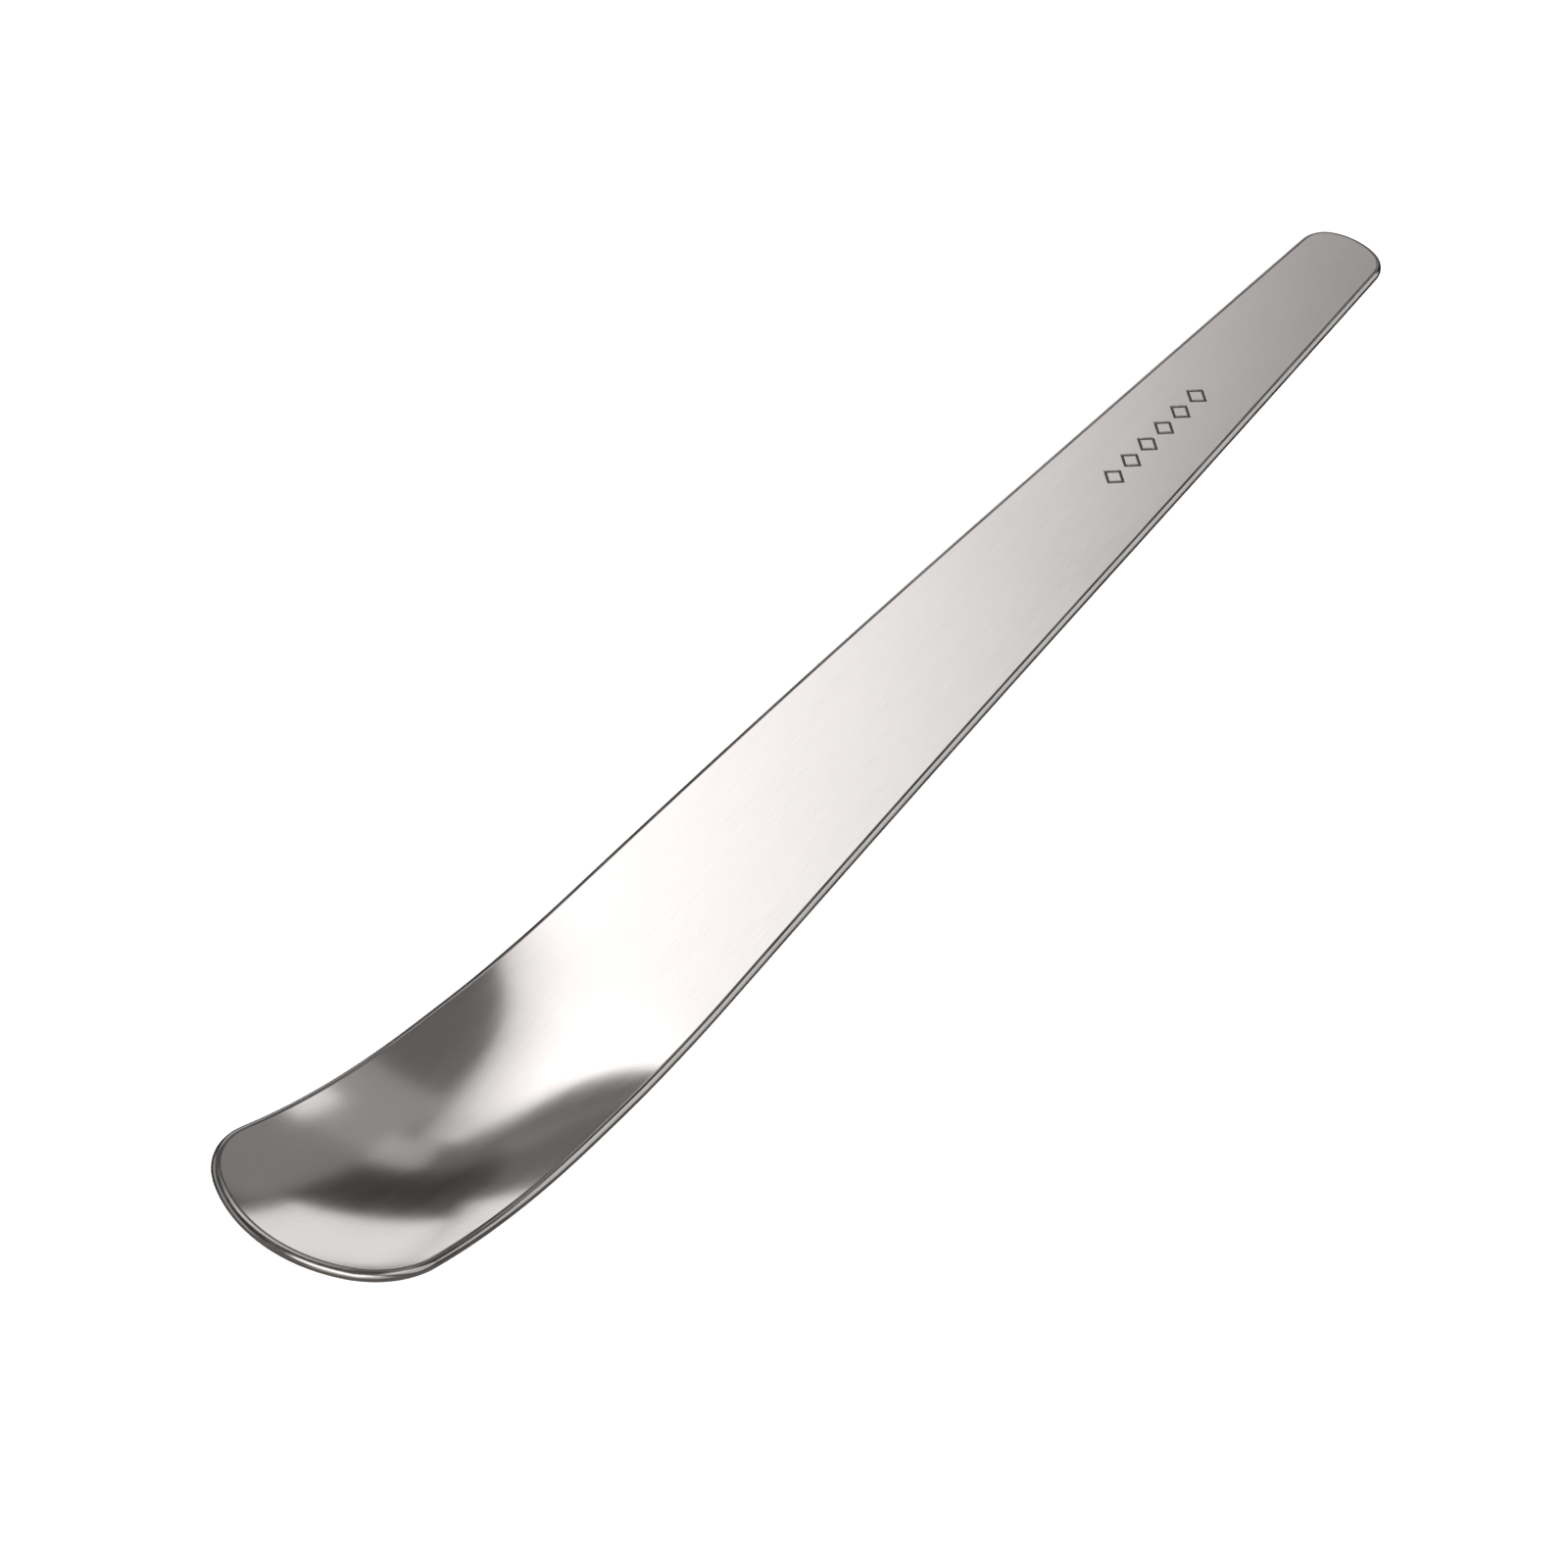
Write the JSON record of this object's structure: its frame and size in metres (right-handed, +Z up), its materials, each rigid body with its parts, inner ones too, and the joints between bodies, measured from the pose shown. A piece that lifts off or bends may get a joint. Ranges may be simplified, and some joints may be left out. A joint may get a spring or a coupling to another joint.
{
  "type": "long shoehorn",
  "caption": "Long one-piece metal shoehorn: straight tapering handle, bowed and bent up into a broad dished scoop, rounded rim, engraved lozenge row on the handle.",
  "frame": {"origin": "bottom middle of the bounding box, on the surface that the part lies on, hollow face up", "axes": "+X from the handle end to the tip, +Y across the blade, +Z up, out of the hollow face"},
  "size_m": [0.297, 0.0392, 0.0241],
  "materials": {
    "steel": "satin, fine lengthwise brushing on both faces, smooth polished rim"
  },
  "bodies": {
    "root": {"shoehorn_blade": "steel"}
  },
  "joints": []
}
